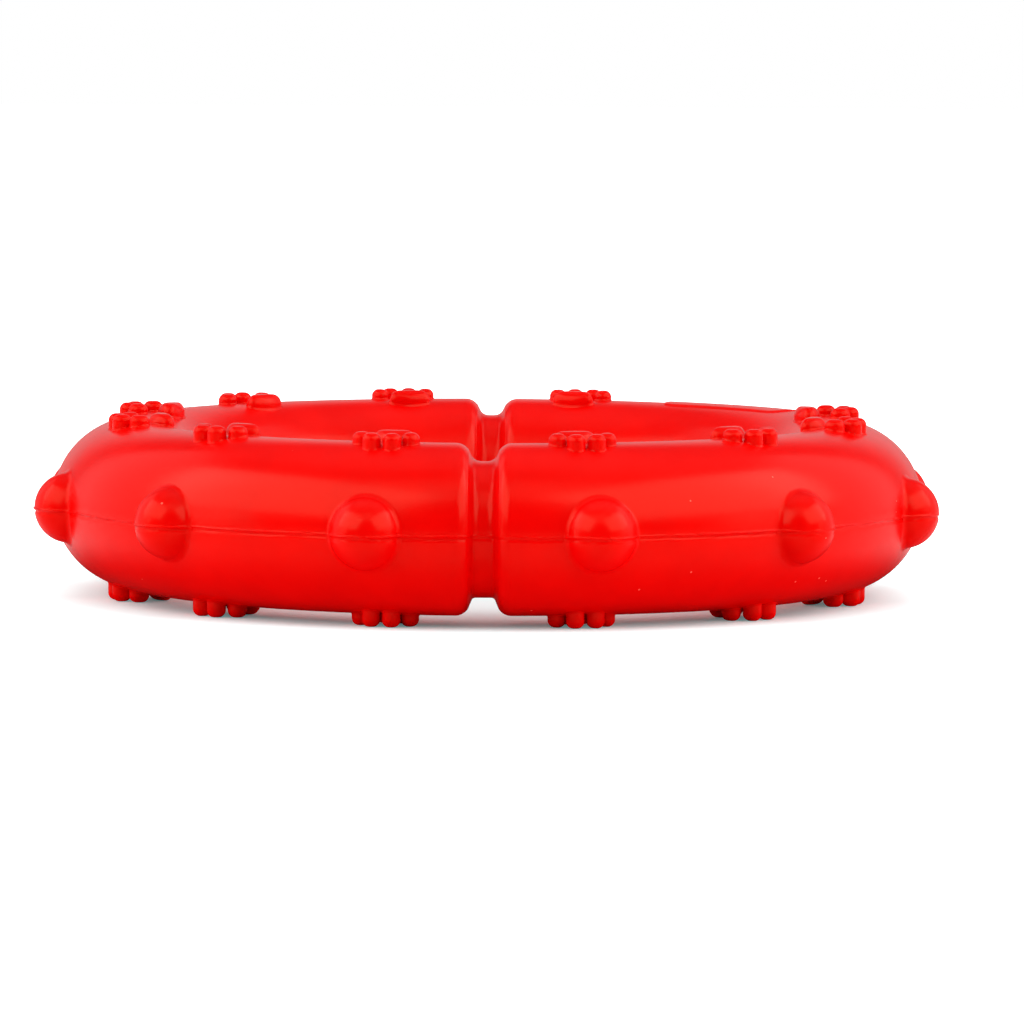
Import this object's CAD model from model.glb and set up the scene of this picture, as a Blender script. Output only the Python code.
import math

import bmesh
import bpy
import numpy as np
from mathutils import Matrix, Vector


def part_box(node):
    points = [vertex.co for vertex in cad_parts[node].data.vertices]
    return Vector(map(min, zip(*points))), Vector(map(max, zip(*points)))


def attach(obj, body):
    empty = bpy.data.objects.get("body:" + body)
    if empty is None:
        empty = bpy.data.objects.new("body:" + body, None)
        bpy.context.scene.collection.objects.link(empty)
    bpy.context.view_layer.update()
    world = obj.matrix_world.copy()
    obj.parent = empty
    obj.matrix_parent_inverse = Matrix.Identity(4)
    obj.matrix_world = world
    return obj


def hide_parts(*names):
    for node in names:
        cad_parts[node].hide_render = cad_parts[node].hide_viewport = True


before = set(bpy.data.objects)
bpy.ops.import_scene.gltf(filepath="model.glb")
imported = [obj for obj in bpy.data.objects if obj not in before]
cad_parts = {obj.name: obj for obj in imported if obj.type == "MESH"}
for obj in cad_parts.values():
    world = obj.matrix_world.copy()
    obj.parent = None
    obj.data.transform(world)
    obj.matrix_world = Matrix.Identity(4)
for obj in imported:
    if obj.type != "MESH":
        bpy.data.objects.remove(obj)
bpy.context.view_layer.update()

MM = 0.001

# Sizes that the frame gives
lobe_low, lobe_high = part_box("lobe_right")
TUBE_R = (lobe_high[2] - lobe_low[2]) / 2
MID_Z = (lobe_high[2] + lobe_low[2]) / 2
RING_R = lobe_high[0] - TUBE_R
NECK_HALF_W = lobe_low[0]
PAW_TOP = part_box("paw_top_1")[1][2] - MID_Z

# Places round the ring, counted from the front towards +X
PLACES = 12
PLACE_STEP = 2 * math.pi / PLACES
SMOOTH_PLACE = 5

# Groove round each neck: its upper half has a rounder foot than its lower half
GROOVE_DEPTH = 2.0 * MM
LIP_R = 1.75 * MM
LIP_ANGLE = math.radians(55)
UPPER_WALL_ANGLE = math.radians(62)
UPPER_FOOT_R = 1.15 * MM
LOWER_WALL_ANGLE = math.radians(67)
LOWER_FOOT_R = 0.45 * MM
LIP_BURR_H = 0.05 * MM
LIP_BURR_W = 0.05 * MM
# Angle of the lip that the little burr on its edge takes up
LIP_SPLIT = 0.06
HALVES_BLEND = 0.5 * MM

# Nubs
NUB_R = 4.05 * MM
NUB_H = 3.0 * MM
NUB_FILLET = 0.45 * MM

# Paw prints. TOES gives each pair of toes: how far out and aside it stands, and its half lengths
TOES = [
    (2.64 * MM, 1.16 * MM, 1.1 * MM, 1.02 * MM),
    (0.96 * MM, 2.82 * MM, 1.16 * MM, 1.0 * MM),
]
TOE_EDGE_R = 0.74 * MM
TOE_FILLET = 0.14 * MM
TOE_DOME = 0.06 * MM
UPPER_TOE_DROP = 0.08 * MM
UPPER_PAD_DROP = 0.04 * MM
PAD_W = 5.0 * MM
PAD_FRONT = -0.55 * MM
PAD_BACK = -3.55 * MM
PAD_BACK_R = 6.0 * MM
PAD_SIDE_R = 4.4 * MM
PAD_LEAN = 0.95 * MM
PAD_WIDEST = -2.5 * MM
PAD_EDGE_R = 1.1 * MM
PAD_FILLET = 0.2 * MM
PAD_DOME = 0.12 * MM
# Higher values draw the pad's corners closer to those of the discs that bound it
PAD_SHARPNESS = 14

# Smooth raised band on the bare stretch of the upper crown
BAND_HALF_W = 2.3 * MM
BAND_TIP_HALF_W = BAND_HALF_W * 0.05
BAND_H = 0.17 * MM
BAND_EDGE = 0.5 * MM
BAND_START = math.radians(119)
BAND_END = math.radians(149)

# Seam round the middle of the moulding: a thin uneven ridge of flash with a fine line under it
SEAM_Z = -0.08 * MM
FLASH_H = 0.17 * MM
FLASH_HALF_W = 0.13 * MM
FLASH_WANDER = 0.035 * MM
LINE_DEPTH = 0.13 * MM
LINE_BELOW = 0.34 * MM
LINE_HALF_W = 0.15 * MM
# The flash's height and the line's depth, as shares of the sizes above
FLASH_MEAN = 0.62
FLASH_LEAST = 0.05
FLASH_MOST = 1.5
COARSE_SWING = 0.5
FINE_SWING = 0.35
FINEST_SWING = 0.2
LINE_MEAN = 0.8
LINE_SWING = 0.35
# The flash is torn where its noise is above NICK_START
NICK_START = 0.72
NICK_DEPTH = 5.0

# Skirt that runs each seated piece a little into the rubber under it
SKIRT = 0.12 * MM
NUB_SKIRT = 2 * SKIRT
BUMP_FOOT = 3 * SKIRT

# Edges that turn by more than this aren't shaded smooth
SHARP_TURN = math.radians(50)

# Fineness of the meshes. The skin has rows at these distances from the seam
SEAM_ROWS = np.concatenate([np.arange(0, 0.46, 0.028), [0.52, 0.62, 0.8, 1.1]]) * MM
SECTION_STEPS = 22
LOBE_COLUMNS = 560
FOOT_STEPS = 12
LIP_STEPS = 18
# Directions from the seam at which a nub has columns of points, in radians
NUB_SEAM_TURNS = np.array([0.0, 0.006, 0.013, 0.021, 0.03, 0.042, 0.06, 0.085, 0.12, 0.17, 0.24, 0.33])
NUB_TURN_STEPS = 16
NUB_CAP_ROWS = 34
# Share of the way from a nub's tip to its foot at which its first row stands
TIP_SHARE = 0.04
# Angle from a nub's axis that is past its foot on every side
PAST_NUB_FOOT = math.pi * 0.6
# Share of a nub's radius by which the point that closes its foot lies behind its middle
NUB_INNER_SHARE = 0.2
NUB_FILLET_ROWS = 14
# The rows of a toe or pad are laid out as seen from a point at this share of its height
BUMP_START_SHARE = 0.2
TOE_TURNS, TOE_ROWS = 48, 26
PAD_TURNS, PAD_ROWS = 72, 34
BAND_COLUMNS = 80
BAND_END_STEPS = 14
BAND_ROWS = 31
BISECTIONS = 40

# Rubber. A noise takes its colour from deep to light between these two values
MOTTLE_DEEP = 0.3
MOTTLE_LIGHT = 0.72
RUBBER_DEEP = (0.80, 0.0003, 0.0003, 1)
RUBBER_LIGHT = (0.90, 0.0008, 0.0006, 1)
DUST = (1.0, 0.16, 0.12, 1)
DUST_SIZE = 0.045
DUST_RARITY = 0.7
ROUGH_LEAST = 0.17
ROUGH_MOST = 0.27
GLOSS = 0.25
GLOSS_TINT = (1.0, 0.85, 0.5, 1)

WHITE = (1, 1, 1, 1)
BLACK = (0, 0, 0, 1)
# Light of the world on the ring: all round, and from the white backdrop behind it, which starts
# and is full where a direction's share along +Y passes these values
WORLD_LIGHT = 0.05
BACKDROP_LIGHT = 0.45
BACKDROP_START = 0.8
BACKDROP_FULL = 0.97
# Floor that lights the rubber, floor that the camera sees, and floor that the rubber mirrors, the
# last one under the ring and in the light beside it
FLOOR_PAINT = (0.95, 0.2, 0.2, 1)
SEEN_FLOOR_PAINT = (0.84, 0.98, 0.98, 1)
FLOOR_SHEEN_UNDER = 0.06
FLOOR_SHEEN_BESIDE = 0.55
# The floor changes with its distance from the ring's middle. These are shares of FLOOR_REACH: where
# the mirrored floor starts and stops to brighten, and where the seen one starts to glow, glows with
# COOL_GLOW and glows white
FLOOR_REACH = 0.1
SHEEN_START = 0.48
SHEEN_FULL = 0.62
GLOW_START = 0.32
GLOW_COOL = 0.56
GLOW_FULL = 0.9
COOL_GLOW = (0.3, 0.58, 0.58, 1)
FLOOR_HALF = 3.0

# Camera, from the ring's place and tilt in the photograph
PHOTO_PX = 1024
RING_CENTRE_PX = (487.7, 501.8)
CAM_DISTANCE = 0.813
CAM_ELEVATION = math.radians(4.3)
CAM_AZIMUTH = math.radians(0.58)
CAM_ROLL = math.radians(0.33)
MM_PER_PX = 0.11595
SENSOR_W = 36.0


def new_mesh_object(name, verts, faces):
    """A smooth object in the scene from points and faces."""
    mesh = bpy.data.meshes.new(name)
    mesh.from_pydata([tuple(v) for v in verts], [], faces)
    mesh.validate()
    mesh.update()
    mesh.shade_smooth()
    obj = bpy.data.objects.new(name, mesh)
    bpy.context.scene.collection.objects.link(obj)
    return obj


def grid_faces(rows, cols):
    """Quads between rows of points that close on themselves, row by row."""
    faces = []
    for i in range(rows - 1):
        for j in range(cols):
            k = (j + 1) % cols
            a = i * cols
            faces.append((a + j, a + k, a + cols + k, a + cols + j))
    return faces


def tube_faces(rows, cols):
    """The same quads with a flat face over the first row and one over the last."""
    first = tuple(range(cols))
    last = tuple((rows - 1) * cols + i for i in first)
    return grid_faces(rows, cols) + [first[::-1], last]


def whole_turn(near, steps):
    """Angles of a whole turn: given ones on both sides of 0 and of half a turn, even ones between."""
    wide = np.linspace(near[-1], math.pi / 2, steps)[1:]
    quarter = np.concatenate([near, wide])
    half = np.concatenate([quarter, math.pi - quarter[-2::-1]])
    return np.concatenate([half, 2 * math.pi - half[-2:0:-1]])


def round_about(angle, start, quarter_on):
    """Unit directions at angles that turn from one direction to another a quarter turn on."""
    return np.cos(angle)[..., None] * start + np.sin(angle)[..., None] * quarter_on


class RingNoise:
    """Smooth noise along the ring that closes on itself, one value for each angle."""

    def __init__(self, seed, cells):
        self.values = np.random.RandomState(seed).uniform(-1, 1, cells)
        self.cells = cells

    def at(self, angle):
        place = (np.asarray(angle) / (2 * math.pi) % 1.0) * self.cells
        low = np.floor(place).astype(int)
        t = place - low
        t = t * t * (3 - 2 * t)
        a = self.values[low % self.cells]
        b = self.values[(low + 1) % self.cells]
        return a + (b - a) * t


flash_coarse = RingNoise(11, 90)
flash_fine = RingNoise(12, 420)
flash_finest = RingNoise(13, 900)
flash_place = RingNoise(14, 150)
nick_noise = RingNoise(15, 260)
line_noise = RingNoise(16, 300)


def flash_height(angle):
    """How far the flash stands out at an angle round the ring; below zero it is torn."""
    ridge = FLASH_MEAN + COARSE_SWING * flash_coarse.at(angle)
    ridge = ridge + FINE_SWING * flash_fine.at(angle) + FINEST_SWING * flash_finest.at(angle)
    nick = np.clip(nick_noise.at(angle) - NICK_START, 0, 1) * NICK_DEPTH
    return FLASH_H * (np.clip(ridge, FLASH_LEAST, FLASH_MOST) - nick)


def seam_offset(angle, height):
    """Offset of the skin along its normal near the seam: the flash, and the fine line under it."""
    above = height - SEAM_Z - FLASH_WANDER * flash_place.at(angle)
    flash = flash_height(angle) * np.exp(-2 * (above / FLASH_HALF_W) ** 2)
    depth = LINE_DEPTH * (LINE_MEAN + LINE_SWING * line_noise.at(angle))
    line = depth * np.exp(-(((above + LINE_BELOW) / LINE_HALF_W) ** 2))
    return flash - line


def section_angles():
    """Angles round the tube's section, closer together at the seam on both sides."""
    return whole_turn(np.arcsin(SEAM_ROWS / TUBE_R), SECTION_STEPS)


def around(rho, x, side):
    """The y of a point at distance rho from the ring's axis, at a given x."""
    return side * np.sqrt(rho ** 2 - x ** 2)


def build_lobe(name, side):
    """Half of the ring: rows run round the section, columns along the ring."""
    phi = section_angles()
    u = np.linspace(0, 1, LOBE_COLUMNS)
    rho = RING_R + TUBE_R * np.cos(phi)
    start = np.arcsin(NECK_HALF_W / rho)
    theta = start[None, :] + (math.pi - 2 * start[None, :]) * u[:, None]
    height = np.broadcast_to(TUBE_R * np.sin(phi), theta.shape)
    offset = seam_offset(side * theta, height)
    r = TUBE_R + offset
    rho = RING_R + r * np.cos(phi)[None, :]
    z = MID_Z + r * np.sin(phi)[None, :]
    x = rho * np.sin(theta)
    y = -rho * np.cos(theta)
    # The two end rows lie in the flat faces where the lobe meets the necks
    for end, back in ((0, -1), (-1, 1)):
        x[end] = NECK_HALF_W
        y[end] = around(rho[end], NECK_HALF_W, back)
    verts = np.stack([side * x, y, z], axis=-1).reshape(-1, 3)
    return new_mesh_object(name, verts, tube_faces(LOBE_COLUMNS, len(phi)))


def groove_profile(foot_r, wall_angle, burr):
    """Half of the groove, from the neck's middle out to a lobe: place along X, and depth."""
    lip_depth = LIP_R * (1 - math.cos(LIP_ANGLE))
    kink = NECK_HALF_W - LIP_R * math.sin(LIP_ANGLE)
    wall_rise = GROOVE_DEPTH - lip_depth - foot_r * (1 - math.cos(wall_angle))
    foot = kink - wall_rise / math.tan(wall_angle) - foot_r * math.sin(wall_angle)
    points = [(0.0, GROOVE_DEPTH), (foot / 2, GROOVE_DEPTH)]
    for a in np.linspace(0, wall_angle, FOOT_STEPS):
        points.append((foot + foot_r * math.sin(a), GROOVE_DEPTH - foot_r * (1 - math.cos(a))))
    points.append((kink - LIP_BURR_W, lip_depth + LIP_BURR_W * math.tan(wall_angle) - burr))
    points.append((kink, lip_depth - burr))
    for a in np.linspace(LIP_ANGLE - LIP_SPLIT, 0, LIP_STEPS):
        points.append((NECK_HALF_W - LIP_R * math.sin(a), LIP_R * (1 - math.cos(a))))
    return np.array(points)


def both_sides(half):
    """The whole profile from the half that starts at the neck's middle."""
    mirrored = half[:0:-1] * np.array([-1, 1])
    return np.concatenate([mirrored, half])


def build_neck(name, side):
    """The grooved length between the lobes; side is -1 at the front and 1 at the back."""
    phi = section_angles()
    upper = both_sides(groove_profile(UPPER_FOOT_R, UPPER_WALL_ANGLE, LIP_BURR_H))
    lower = both_sides(groove_profile(LOWER_FOOT_R, LOWER_WALL_ANGLE, 0.0))
    share = np.clip(0.5 + TUBE_R * np.sin(phi) / (2 * HALVES_BLEND), 0, 1)[None, :, None]
    blend = lower[:, None, :] * (1 - share) + upper[:, None, :] * share
    x = blend[..., 0]
    q = TUBE_R - blend[..., 1]
    height = q * np.sin(phi)[None, :]
    angle = np.arctan2(x, -side * RING_R)
    r = q + seam_offset(angle, height)
    y = around(RING_R + r * np.cos(phi)[None, :], x, side)
    z = MID_Z + r * np.sin(phi)[None, :]
    verts = np.stack([x, y, z], axis=-1).reshape(-1, 3)
    return new_mesh_object(name, verts, tube_faces(len(upper), len(phi)))


def place_axes(place):
    """Outward and sideways directions at a numbered place."""
    angle = (place - 0.5) * PLACE_STEP
    outward = np.array([math.sin(angle), -math.cos(angle), 0.0])
    sideways = np.array([math.cos(angle), math.sin(angle), 0.0])
    return outward, sideways


def tube_distance(points):
    """Signed distance of points from the ring's skin."""
    rho = np.hypot(points[..., 0], points[..., 1])
    return np.hypot(rho - RING_R, points[..., 2] - MID_Z) - TUBE_R


def fillet_union(a, b, radius):
    """Distance field of two shapes joined with a round fillet between them."""
    round_part = np.hypot(np.maximum(radius - a, 0), np.maximum(radius - b, 0))
    return np.maximum(radius, np.minimum(a, b)) - round_part


def bisect(low, high, inside):
    """Finds where inside() stops being true between two arrays of numbers."""
    low = low.copy()
    high = high.copy()
    for _ in range(BISECTIONS):
        mid = (low + high) / 2
        hit = inside(mid)
        low = np.where(hit, mid, low)
        high = np.where(hit, high, mid)
    return (low + high) / 2


def build_nub(name, place):
    """A ball set in the rim that flows into the ring; its rows run round the tip, down to the ring."""
    outward, sideways = place_axes(place)
    up = np.array([0.0, 0.0, 1.0])
    centre = outward * (RING_R + TUBE_R + NUB_H - NUB_R) + up * MID_Z
    turn = whole_turn(NUB_SEAM_TURNS, NUB_TURN_STEPS)

    def direction(tilt, spin):
        return round_about(tilt, outward, round_about(spin, sideways, up))

    def tilt_where(reach, gap):
        return bisect(
            np.zeros(len(turn)),
            np.full(len(turn), PAST_NUB_FOOT),
            lambda tilt: tube_distance(centre + reach * direction(tilt, turn)) > gap,
        )

    foot = tilt_where(NUB_R, NUB_FILLET)
    rim = tilt_where(NUB_R + NUB_FILLET, 0.0)
    cap = np.linspace(TIP_SHARE, 1, NUB_CAP_ROWS)[:, None] * foot[None, :]
    # The fillet's rows are closest where it runs out into the ball and into the ring
    share = (1 - np.cos(np.linspace(0, math.pi, NUB_FILLET_ROWS + 1)[1:, None])) / 2
    fillet = foot[None, :] + share * (rim - foot)[None, :]
    tilt = np.concatenate([cap, fillet])
    spin = np.broadcast_to(turn, tilt.shape)
    way = direction(tilt, spin)

    def within(reach):
        points = centre + reach[..., None] * way
        return fillet_union(reach - NUB_R, tube_distance(points), NUB_FILLET) < 0

    reach = bisect(np.full(tilt.shape, NUB_R / 2), np.full(tilt.shape, NUB_R * 2), within)
    points = centre + reach[..., None] * way
    angle = np.arctan2(points[..., 0], -points[..., 1])
    reach = reach + seam_offset(angle, points[..., 2] - MID_Z)
    points = centre + reach[..., None] * way
    skirt = points[-1] - outward * NUB_SKIRT
    tip = centre + outward * (NUB_R + float(seam_offset(math.atan2(outward[0], -outward[1]), 0.0)))
    inner = centre - outward * NUB_R * NUB_INNER_SHARE
    rows = np.concatenate([points, skirt[None]])
    verts = np.concatenate([rows.reshape(-1, 3), [tip, inner]])
    return closed_rows(name, verts, len(rows), len(turn))


def closed_rows(name, verts, rows, cols):
    """A mesh of closed rows, the last two points being the middle of its top and of its foot."""
    faces = grid_faces(rows, cols)
    tip = rows * cols
    inner = tip + 1
    last = (rows - 1) * cols
    for j in range(cols):
        k = (j + 1) % cols
        faces.append((tip, k, j))
        faces.append((inner, last + j, last + k))
    return new_mesh_object(name, verts, faces)


def disc_reach(spin, centre_out, centre_side, radius, origin_out):
    """Distance from a pad's middle to the edge of a disc, in each direction round it."""
    off_out = origin_out - centre_out
    off_side = -centre_side
    along = off_out * np.cos(spin) + off_side * np.sin(spin)
    return -along + np.sqrt(along ** 2 - (off_out ** 2 + off_side ** 2 - radius ** 2))


def pad_outline(spin, origin_out):
    """The pad's rounded outline, just inside what its four discs have in common."""
    side_out = PAD_FRONT - math.sqrt(PAD_SIDE_R ** 2 - PAD_LEAN ** 2)
    discs = [
        (PAD_BACK + PAD_BACK_R, 0.0, PAD_BACK_R),
        (side_out, PAD_LEAN, PAD_SIDE_R),
        (side_out, -PAD_LEAN, PAD_SIDE_R),
        (PAD_WIDEST, 0.0, PAD_W / 2),
    ]
    reach = [disc_reach(spin, out, aside, radius, origin_out) for out, aside, radius in discs]
    return sum(r ** -PAD_SHARPNESS for r in reach) ** (-1 / PAD_SHARPNESS)


def build_bump(name, place, out, aside, outline, edge_r, fillet_r, top, dome, upside, turns, rows):
    """A raised toe or pad with a rounded end, which flows into the crown that it stands on."""
    outward, sideways = place_axes(place)
    spin = np.linspace(0, 2 * math.pi, turns, endpoint=False)
    spread = round_about(spin, outward, sideways)
    wall = outline(spin)
    axis = outward * (RING_R + out) + sideways * aside
    crown = math.sqrt(TUBE_R ** 2 - (math.hypot(axis[0], axis[1]) - RING_R) ** 2)
    start = crown + (top - crown) * BUMP_START_SHARE

    def point(across, height):
        flat = axis + across[..., None] * spread
        return flat + np.stack([np.zeros_like(height), np.zeros_like(height), MID_Z + height], axis=-1)

    def gap(across, height):
        over = across - wall + edge_r
        above = height - top + dome * (across / wall) ** 2 + edge_r
        inside = np.minimum(np.maximum(over, above), 0)
        post = np.hypot(np.maximum(over, 0), np.maximum(above, 0)) + inside - edge_r
        return fillet_union(post, tube_distance(point(across, height)), fillet_r)

    rim_across = wall + fillet_r
    flat_rim = axis + rim_across[:, None] * spread
    rim_height = np.sqrt(TUBE_R ** 2 - (np.hypot(flat_rim[:, 0], flat_rim[:, 1]) - RING_R) ** 2)
    last_tilt = np.arctan2(rim_across, rim_height - start)
    tilt = np.linspace(0, 1, rows + 1)[1:, None] * last_tilt[None, :]

    def within(reach):
        return gap(reach * np.sin(tilt), start + reach * np.cos(tilt)) < 0

    limit = np.minimum(rim_across / np.sin(tilt), 2 * rim_across.max())
    reach = bisect(np.zeros(tilt.shape), limit, within)
    points = point(reach * np.sin(tilt), start + reach * np.cos(tilt))
    skirt = points[-1] - np.array([0, 0, SKIRT])
    tip = axis + np.array([0, 0, MID_Z + top])
    inner = axis + np.array([0, 0, MID_Z + crown - BUMP_FOOT])
    verts = np.concatenate([points.reshape(-1, 3), skirt, [tip, inner]])
    verts[:, 2] = MID_Z + upside * (verts[:, 2] - MID_Z)
    return closed_rows(name, verts, rows + 1, turns)


def oval(half_out, half_side):
    """Outline of an oval: distance from its middle to its edge in each direction."""
    return lambda spin: 1 / np.hypot(np.cos(spin) / half_out, np.sin(spin) / half_side)


def join(name, pieces):
    """One object from several, each still a closed mesh of its own."""
    verts = []
    faces = []
    for piece in pieces:
        first = len(verts)
        mesh = piece.data
        verts += [tuple(v.co) for v in mesh.vertices]
        faces += [tuple(first + i for i in p.vertices) for p in mesh.polygons]
        bpy.data.objects.remove(piece)
        bpy.data.meshes.remove(mesh)
    return new_mesh_object(name, verts, faces)


def turn_outside_out(obj):
    """Makes the faces of a closed mesh point outwards, smooth but where its skin turns sharply."""
    bm = bmesh.new()
    bm.from_mesh(obj.data)
    bmesh.ops.recalc_face_normals(bm, faces=bm.faces)
    for edge in bm.edges:
        edge.smooth = edge.calc_face_angle(0.0) < SHARP_TURN
    bm.to_mesh(obj.data)
    bm.free()


def build_paw(name, place, upside):
    """A print of four toes and a pad; upside is 1 on the upper crown and -1 underneath."""
    toe_top, pad_top = PAW_TOP, PAW_TOP
    if upside > 0:
        toe_top -= UPPER_TOE_DROP
        pad_top -= UPPER_PAD_DROP
    parts = []
    for out, aside, half_out, half_side in TOES:
        for side in (-1, 1):
            parts.append(build_bump(
                f"{name}_toe", place, out, side * aside, oval(half_out, half_side),
                TOE_EDGE_R, TOE_FILLET, toe_top, TOE_DOME, upside, TOE_TURNS, TOE_ROWS,
            ))
    middle = (PAD_FRONT + PAD_BACK) / 2
    parts.append(build_bump(
        f"{name}_pad", place, middle, 0.0, lambda spin: pad_outline(spin, middle),
        PAD_EDGE_R, PAD_FILLET, pad_top, PAD_DOME, upside, PAD_TURNS, PAD_ROWS,
    ))
    return join(name, parts)


def build_band(name):
    """A low plain band along the crown, with rounded ends and soft edges."""
    half_length = (BAND_END - BAND_START) / 2 * RING_R
    straight = half_length - BAND_HALF_W
    ends = np.linspace(0, math.pi / 2, BAND_END_STEPS)[1:]
    along = np.concatenate([
        -straight - BAND_HALF_W * np.sin(ends[::-1]),
        np.linspace(-straight, straight, BAND_COLUMNS),
        straight + BAND_HALF_W * np.sin(ends),
    ])
    beyond = np.maximum(np.abs(along) - straight, 0)
    half_w = np.sqrt(np.maximum(BAND_HALF_W ** 2 - beyond ** 2, BAND_TIP_HALF_W ** 2))
    across = np.sin(np.linspace(-math.pi / 2, math.pi / 2, BAND_ROWS))
    out = half_w[:, None] * across[None, :]
    from_edge = BAND_HALF_W - np.hypot(np.broadcast_to(beyond[:, None], out.shape), out)
    t = np.clip(from_edge / BAND_EDGE, 0, 1)
    rise = BAND_H * t * t * (3 - 2 * t)
    angle = (BAND_START + BAND_END) / 2 + along / RING_R

    def skin(offset):
        tilt = np.arcsin(out / TUBE_R)
        rho = RING_R + (TUBE_R + offset) * np.sin(tilt)
        z = MID_Z + (TUBE_R + offset) * np.cos(tilt)
        return np.stack([rho * np.sin(angle)[:, None], -rho * np.cos(angle)[:, None], z], axis=-1)

    top = skin(rise)
    under = skin(np.full(out.shape, -SKIRT))
    loops = np.concatenate([top, under[:, ::-1]], axis=1)
    return new_mesh_object(name, loops.reshape(-1, 3), tube_faces(*loops.shape[:2]))


def node(tree, kind, **inputs):
    """A new shader node with its settings and inputs; an underscore stands for a space in a name."""
    made = tree.nodes.new(kind)
    for key, value in inputs.items():
        if hasattr(made, key):
            setattr(made, key, value)
        else:
            made.inputs[key.replace("_", " ")].default_value = value
    return made


def red_rubber():
    """Moulded rubber: even red with faint mottling, a fine satin skin and a few specks of dust."""
    material = bpy.data.materials.new("red_rubber_moulded")
    material.use_nodes = True
    tree = material.node_tree
    tree.nodes.clear()
    link = tree.links.new
    out = tree.nodes.new("ShaderNodeOutputMaterial")
    bsdf = tree.nodes.new("ShaderNodeBsdfPrincipled")
    link(bsdf.outputs["BSDF"], out.inputs["Surface"])
    coord = tree.nodes.new("ShaderNodeTexCoord")
    where = coord.outputs["Object"]

    # Faint mottling of the colour
    mottle = node(tree, "ShaderNodeTexNoise", Scale=110.0, Detail=4.0, Roughness=0.55)
    link(where, mottle.inputs["Vector"])
    tone = tree.nodes.new("ShaderNodeValToRGB")
    deep, light = tone.color_ramp.elements
    deep.position, deep.color = MOTTLE_DEEP, RUBBER_DEEP
    light.position, light.color = MOTTLE_LIGHT, RUBBER_LIGHT
    link(mottle.outputs["Fac"], tone.inputs["Fac"])

    # Specks of dust: a few cells of a fine pattern, near their middles
    cells = node(tree, "ShaderNodeTexVoronoi", Scale=340.0)
    link(where, cells.inputs["Vector"])
    near = node(tree, "ShaderNodeMath", operation="LESS_THAN")
    near.inputs[1].default_value = DUST_SIZE
    link(cells.outputs["Distance"], near.inputs[0])
    pick = tree.nodes.new("ShaderNodeSeparateColor")
    link(cells.outputs["Color"], pick.inputs["Color"])
    chosen = node(tree, "ShaderNodeMath", operation="GREATER_THAN")
    chosen.inputs[1].default_value = DUST_RARITY
    link(pick.outputs["Red"], chosen.inputs[0])
    speck = node(tree, "ShaderNodeMath", operation="MULTIPLY")
    link(near.outputs[0], speck.inputs[0])
    link(chosen.outputs[0], speck.inputs[1])
    dusty = tree.nodes.new("ShaderNodeMix")
    dusty.data_type = "RGBA"
    dusty.inputs["B"].default_value = DUST
    link(speck.outputs[0], dusty.inputs["Factor"])
    link(tone.outputs["Color"], dusty.inputs["A"])
    link(dusty.outputs["Result"], bsdf.inputs["Base Color"])

    # Satin skin with a slightly uneven sheen
    sheen = node(tree, "ShaderNodeTexNoise", Scale=260.0, Detail=3.0, Roughness=0.6)
    link(where, sheen.inputs["Vector"])
    rough = node(tree, "ShaderNodeMapRange", To_Min=ROUGH_LEAST, To_Max=ROUGH_MOST)
    link(sheen.outputs["Fac"], rough.inputs["Value"])
    link(rough.outputs["Result"], bsdf.inputs["Roughness"])

    # Fine unevenness of the moulded skin
    skin = node(tree, "ShaderNodeTexNoise", Scale=900.0, Detail=5.0, Roughness=0.6)
    link(where, skin.inputs["Vector"])
    wave = node(tree, "ShaderNodeTexNoise", Scale=160.0, Detail=2.0, Roughness=0.5)
    link(where, wave.inputs["Vector"])
    fine_bump = node(tree, "ShaderNodeBump", Strength=0.16, Distance=0.06 * MM)
    link(skin.outputs["Fac"], fine_bump.inputs["Height"])
    wave_bump = node(tree, "ShaderNodeBump", Strength=0.2, Distance=0.1 * MM)
    link(wave.outputs["Fac"], wave_bump.inputs["Height"])
    link(fine_bump.outputs["Normal"], wave_bump.inputs["Normal"])
    link(wave_bump.outputs["Normal"], bsdf.inputs["Normal"])

    bsdf.inputs["Specular IOR Level"].default_value = GLOSS
    bsdf.inputs["Specular Tint"].default_value = GLOSS_TINT
    bsdf.inputs["IOR"].default_value = 1.45
    return material


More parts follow.
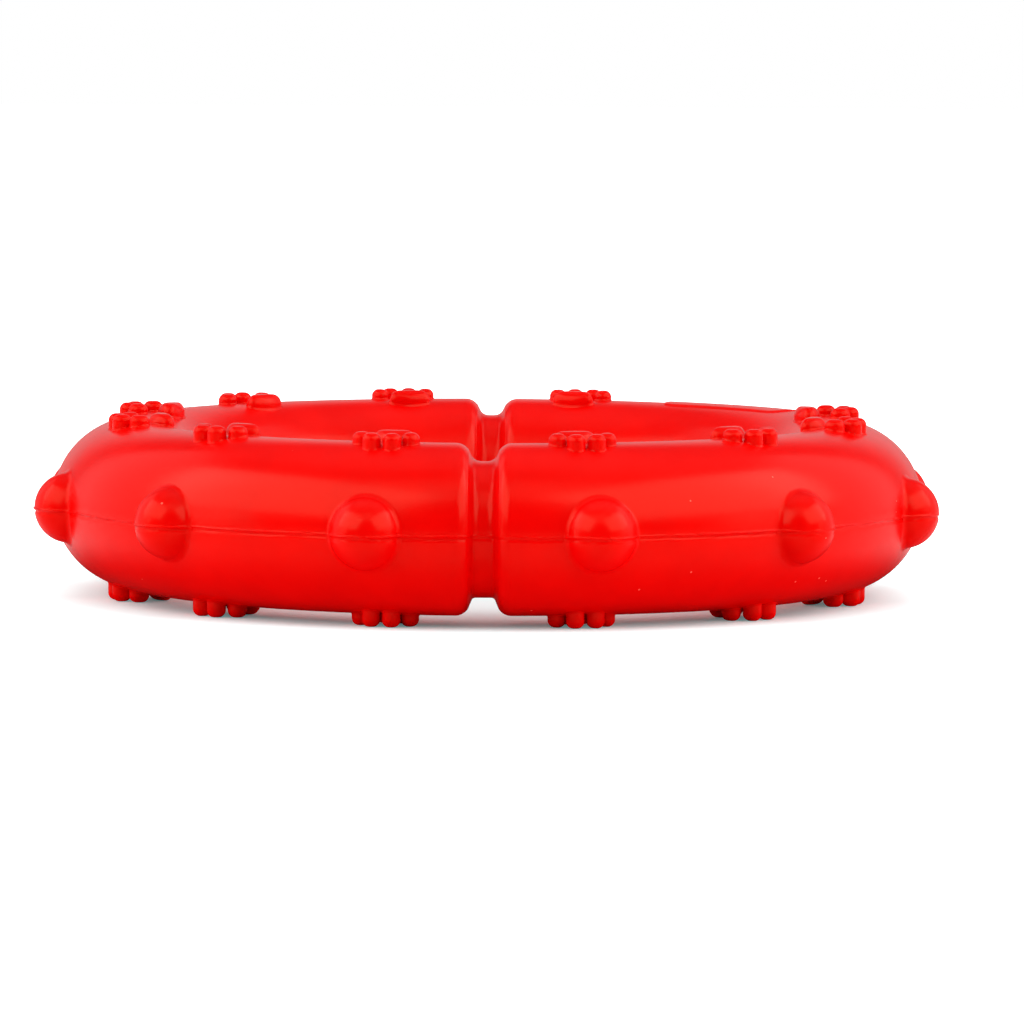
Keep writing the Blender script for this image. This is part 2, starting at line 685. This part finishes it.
def build_floor():
    """Pale floor that keeps the ring's shadow and reads white away from it."""
    corners = [(x * FLOOR_HALF, y * FLOOR_HALF, 0) for x, y in ((-1, -1), (1, -1), (1, 1), (-1, 1))]
    floor = new_mesh_object("floor", corners, [(0, 1, 2, 3)])
    material = bpy.data.materials.new("pale_floor")
    material.use_nodes = True
    tree = material.node_tree
    tree.nodes.clear()
    link = tree.links.new
    out = tree.nodes.new("ShaderNodeOutputMaterial")
    path = tree.nodes.new("ShaderNodeLightPath")
    paint = tree.nodes.new("ShaderNodeBsdfDiffuse")
    # The rubber takes light from a floor warmed by its own red, and mirrors a grey one
    paint_shade = tree.nodes.new("ShaderNodeMix")
    paint_shade.data_type = "RGBA"
    paint_shade.inputs["A"].default_value = FLOOR_PAINT
    link(path.outputs["Is Glossy Ray"], paint_shade.inputs["Factor"])
    link(paint_shade.outputs["Result"], paint.inputs["Color"])
    seen_paint = tree.nodes.new("ShaderNodeBsdfDiffuse")
    coord = tree.nodes.new("ShaderNodeTexCoord")
    away = node(tree, "ShaderNodeVectorMath", operation="LENGTH")
    link(coord.outputs["Object"], away.inputs[0])
    reach = node(tree, "ShaderNodeMapRange", From_Max=FLOOR_REACH)
    link(away.outputs["Value"], reach.inputs["Value"])
    mirrored = node(
        tree, "ShaderNodeMapRange", interpolation_type="SMOOTHSTEP",
        From_Min=SHEEN_START, From_Max=SHEEN_FULL, To_Min=FLOOR_SHEEN_UNDER, To_Max=FLOOR_SHEEN_BESIDE,
    )
    link(reach.outputs["Result"], mirrored.inputs["Value"])
    link(mirrored.outputs["Result"], paint_shade.inputs["B"])
    # Close to the ring the glow is cooler, which takes the red of the rubber out of its shadow
    glow = tree.nodes.new("ShaderNodeValToRGB")
    glow.color_ramp.interpolation = "EASE"
    first, last = glow.color_ramp.elements
    first.position, first.color = GLOW_START, BLACK
    last.position, last.color = GLOW_FULL, WHITE
    glow.color_ramp.elements.new(GLOW_COOL).color = COOL_GLOW
    link(reach.outputs["Result"], glow.inputs["Fac"])
    seen_paint.inputs["Color"].default_value = SEEN_FLOOR_PAINT
    white = tree.nodes.new("ShaderNodeEmission")
    link(glow.outputs["Color"], white.inputs["Color"])
    seen = tree.nodes.new("ShaderNodeAddShader")
    link(seen_paint.outputs[0], seen.inputs[0])
    link(white.outputs[0], seen.inputs[1])
    mix = tree.nodes.new("ShaderNodeMixShader")
    link(path.outputs["Is Camera Ray"], mix.inputs["Fac"])
    link(paint.outputs[0], mix.inputs[1])
    link(seen.outputs[0], mix.inputs[2])
    link(mix.outputs[0], out.inputs["Surface"])
    floor.data.materials.append(material)


def build_world():
    """White for the camera, and a dim studio for the light that falls on the ring."""
    world = bpy.data.worlds.new("studio")
    bpy.context.scene.world = world
    world.use_nodes = True
    tree = world.node_tree
    tree.nodes.clear()
    link = tree.links.new
    out = tree.nodes.new("ShaderNodeOutputWorld")
    # The light that falls on the ring is brighter from the white backdrop behind it
    light = node(tree, "ShaderNodeBackground", Color=WHITE)
    coord = tree.nodes.new("ShaderNodeTexCoord")
    parts = tree.nodes.new("ShaderNodeSeparateXYZ")
    link(coord.outputs["Generated"], parts.inputs["Vector"])
    backdrop = node(
        tree, "ShaderNodeMapRange", interpolation_type="SMOOTHSTEP",
        From_Min=BACKDROP_START, From_Max=BACKDROP_FULL, To_Min=WORLD_LIGHT, To_Max=BACKDROP_LIGHT,
    )
    link(parts.outputs["Y"], backdrop.inputs["Value"])
    link(backdrop.outputs["Result"], light.inputs["Strength"])
    white = node(tree, "ShaderNodeBackground", Color=WHITE, Strength=1.0)
    path = tree.nodes.new("ShaderNodeLightPath")
    mix = tree.nodes.new("ShaderNodeMixShader")
    link(path.outputs["Is Camera Ray"], mix.inputs["Fac"])
    link(light.outputs[0], mix.inputs[1])
    link(white.outputs[0], mix.inputs[2])
    link(mix.outputs[0], out.inputs["Surface"])


def add_softbox(name, azimuth, elevation, distance, size, radiance, mirrored=True):
    """A soft lamp that faces the ring, its distance and size in metres and its angles in degrees.

    Azimuth is counted from the front towards +X. One that isn't mirrored lights the rubber without
    a highlight of its own.
    """
    width, height = size
    lamp = bpy.data.lights.new(name, "AREA")
    lamp.shape = "RECTANGLE"
    lamp.size = width
    lamp.size_y = height
    lamp.energy = radiance * math.pi * width * height
    obj = bpy.data.objects.new(name, lamp)
    bpy.context.scene.collection.objects.link(obj)
    obj.visible_glossy = mirrored
    az, el = math.radians(azimuth), math.radians(elevation)
    way = Vector((math.sin(az) * math.cos(el), -math.cos(az) * math.cos(el), math.sin(el)))
    obj.location = Vector((0, 0, MID_Z)) + way * distance
    obj.rotation_euler = way.to_track_quat("Z", "Y").to_euler()


def build_camera():
    """The camera, which frames the ring as the photograph does."""
    data = bpy.data.cameras.new("camera")
    data.sensor_fit = "HORIZONTAL"
    data.sensor_width = SENSOR_W
    focal_px = CAM_DISTANCE / (MM_PER_PX * MM)
    data.lens = focal_px / PHOTO_PX * SENSOR_W
    data.shift_x = (PHOTO_PX / 2 - RING_CENTRE_PX[0]) / PHOTO_PX
    data.shift_y = (RING_CENTRE_PX[1] - PHOTO_PX / 2) / PHOTO_PX
    data.clip_start = 0.01
    data.clip_end = 20
    camera = bpy.data.objects.new("camera", data)
    bpy.context.scene.collection.objects.link(camera)
    way = Vector((
        math.sin(CAM_AZIMUTH) * math.cos(CAM_ELEVATION),
        -math.cos(CAM_AZIMUTH) * math.cos(CAM_ELEVATION),
        math.sin(CAM_ELEVATION),
    ))
    centre = Vector((0, 0, MID_Z))
    look = (-way).to_track_quat("-Z", "Y").to_matrix().to_4x4()
    stand = Matrix.Translation(centre + way * CAM_DISTANCE)
    camera.matrix_world = stand @ look @ Matrix.Rotation(CAM_ROLL, 4, "Z")
    bpy.context.scene.camera = camera


rubber = red_rubber()


def finish_piece(obj, *nodes):
    """Gives a piece its rubber and its body, and names the nodes that it replaces."""
    turn_outside_out(obj)
    obj.data.materials.clear()
    obj.data.materials.append(rubber)
    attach(obj, "root")
    if nodes:
        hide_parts(*nodes)


finish_piece(build_lobe("lobe_left_rubber", -1), "lobe_left")
finish_piece(build_lobe("lobe_right_rubber", 1), "lobe_right")
finish_piece(build_neck("neck_front_rubber", -1), "neck_front")
finish_piece(build_neck("neck_back_rubber", 1), "neck_back")
for place in range(1, PLACES + 1):
    finish_piece(build_nub(f"nub_{place}_rubber", place), f"nub_{place}")
    finish_piece(build_paw(f"paw_bottom_{place}_rubber", place, -1), f"paw_bottom_{place}")
    if place != SMOOTH_PLACE:
        finish_piece(build_paw(f"paw_top_{place}_rubber", place, 1), f"paw_top_{place}")
finish_piece(build_band("bare_band_rubber"))

build_floor()
build_world()
add_softbox("softbox_left", -64, 37, 0.8, (1.1, 0.6), 1.75)
add_softbox("softbox_right", 68, 37, 0.8, (1.1, 0.6), 1.75)
add_softbox("panel_left", -116, 24, 0.9, (0.8, 0.8), 0.5)
add_softbox("panel_right", 116, 24, 0.9, (0.8, 0.8), 0.5)
add_softbox("fill_top", 170, 68, 0.9, (1.0, 0.9), 1.25, mirrored=False)
add_softbox("fill_over", 0, 58, 1.0, (0.8, 0.5), 1.9, mirrored=False)
add_softbox("fill_left", -80, 8, 1.2, (0.7, 0.3), 6.0, mirrored=False)
add_softbox("fill_right", 80, 8, 1.2, (0.7, 0.3), 6.0, mirrored=False)
build_camera()

scene = bpy.context.scene
scene.view_settings.view_transform = "Standard"
